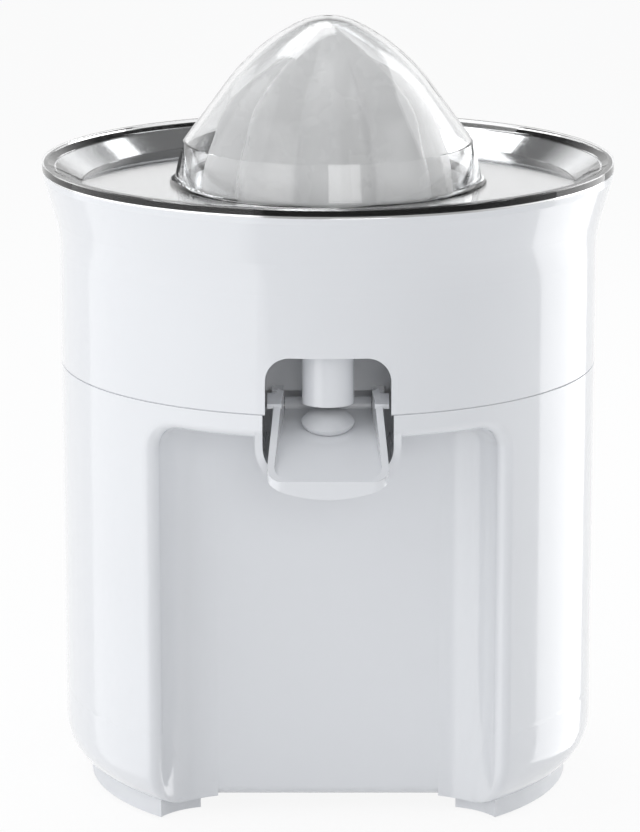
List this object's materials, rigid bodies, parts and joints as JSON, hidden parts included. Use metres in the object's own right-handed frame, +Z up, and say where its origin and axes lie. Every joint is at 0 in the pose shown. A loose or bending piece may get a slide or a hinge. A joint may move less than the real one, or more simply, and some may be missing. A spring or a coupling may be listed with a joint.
{
  "type": "citrus press",
  "caption": "Electric citrus press: ribbed reamer under a clear domed lid, strainer dish and bowl with tilting drip spout on a geared motor base with a glass bay.",
  "frame": {"origin": "on the drive shaft's axis, at the level of the foot pads' undersides", "axes": "+Z up along the drive shaft; -Y towards the spout and glass bay; +X to the right seen from behind"},
  "size_m": [0.205, 0.2089, 0.2794],
  "materials": {
    "body_white": "gloss white moulding",
    "plate_white": "fine satin moulding",
    "pad_grey": "matt rubber",
    "steel": "ground steel",
    "tray_steel": "polished steel sheet",
    "lid_clear": "clear moulding",
    "cone_grey": "fine satin moulding",
    "spout_white": "gloss white moulding",
    "stopper_grey": "soft silicone",
    "gear_nylon": "natural nylon",
    "frame_black": "filled black moulding",
    "bush_bronze": "sintered bronze",
    "core_iron": "stacked sheet",
    "coil_copper": "enamelled copper wire",
    "magnet": "sintered ferrite",
    "zinc": "zinc plated"
  },
  "bodies": {
    "base": {"base_housing": "body_white", "base_plate": "plate_white", "foot_pad_1": "pad_grey", "foot_pad_2": "pad_grey", "foot_pad_3": "pad_grey", "foot_pad_4": "pad_grey", "cord_inlet": "frame_black", "plate_screws": "zinc", "gearbox_frame": "frame_black", "gearbox_cover": "frame_black", "gearbox_screws": "zinc", "tower_bush": "bush_bronze", "upper_shaft_bush": "bush_bronze", "lower_shaft_bush": "bush_bronze", "upper_rotor_bush": "bush_bronze", "idler_axle": "steel", "stator_core": "core_iron", "bobbin_left": "frame_black", "bobbin_right": "frame_black", "coil_left": "coil_copper", "coil_right": "coil_copper", "rotor_bracket": "zinc", "lower_rotor_bush": "bush_bronze", "motor_screws": "zinc", "switch_bracket": "zinc", "bracket_screws": "zinc", "micro_switch": "frame_black", "return_spring": "steel"},
    "rotor": {"rotor_shaft": "steel", "rotor_magnet": "magnet", "motor_pinion": "gear_nylon"},
    "idler": {"idler_gear": "gear_nylon"},
    "plunger": {"press_plunger": "gear_nylon"},
    "button": {"switch_button": "frame_black"},
    "shaft": {"drive_shaft": "steel", "drive_pin": "steel", "output_gear": "gear_nylon"},
    "cone": {"reamer_cone": "cone_grey"},
    "bowl": {"juice_bowl": "body_white", "strainer_tray": "tray_steel", "spout_pin": "steel"},
    "spout": {"drip_spout": "spout_white", "spout_stopper": "stopper_grey"},
    "lid": {"lid": "lid_clear"}
  },
  "joints": [
    {"name": "bowl_lift", "type": "slide", "parent": "base", "child": "bowl", "axis": [0, 0, 1], "range_m": [0, 0.12]},
    {"name": "lid_lift", "type": "slide", "parent": "bowl", "child": "lid", "axis": [0, 0, 1], "range_m": [0, 0.1]},
    {"name": "spout_tilt", "type": "hinge", "parent": "bowl", "child": "spout", "pos_m": [0, -0.061, 0.151], "axis": [-1, 0, 0], "range_deg": [0, 12]},
    {"name": "cone_press", "type": "slide", "parent": "base", "child": "plunger", "axis": [0, 0, 1], "range_m": [-0.0025, 0], "stiffness_N_per_m": 1500, "springref_m": 0.004, "deforming": ["return_spring"]},
    {"name": "shaft_spin", "type": "hinge", "parent": "plunger", "child": "shaft", "pos_m": [0, 0, 0.1], "axis": [0, 0, 1], "continuous": true},
    {"name": "cone_lift", "type": "slide", "parent": "shaft", "child": "cone", "axis": [0, 0, 1], "range_m": [0, 0.12]},
    {"name": "idler_spin", "type": "hinge", "parent": "base", "child": "idler", "pos_m": [-0.02737, 0.02608, 0.08], "axis": [0, 0, 1], "continuous": true},
    {"name": "rotor_spin", "type": "hinge", "parent": "base", "child": "rotor", "pos_m": [0, 0.032, 0.05], "axis": [0, 0, 1], "continuous": true},
    {"name": "button_press", "type": "slide", "parent": "base", "child": "button", "axis": [0, 0, 1], "range_m": [-0.0025, 0]}
  ],
  "couplings": [
    {"joint": "cone_lift", "follows": "bowl_lift", "ratio": 1},
    {"joint": "idler_spin", "follows": "shaft_spin", "ratio": -5},
    {"joint": "rotor_spin", "follows": "shaft_spin", "ratio": 20},
    {"joint": "button_press", "follows": "cone_press", "ratio": 1}
  ]
}
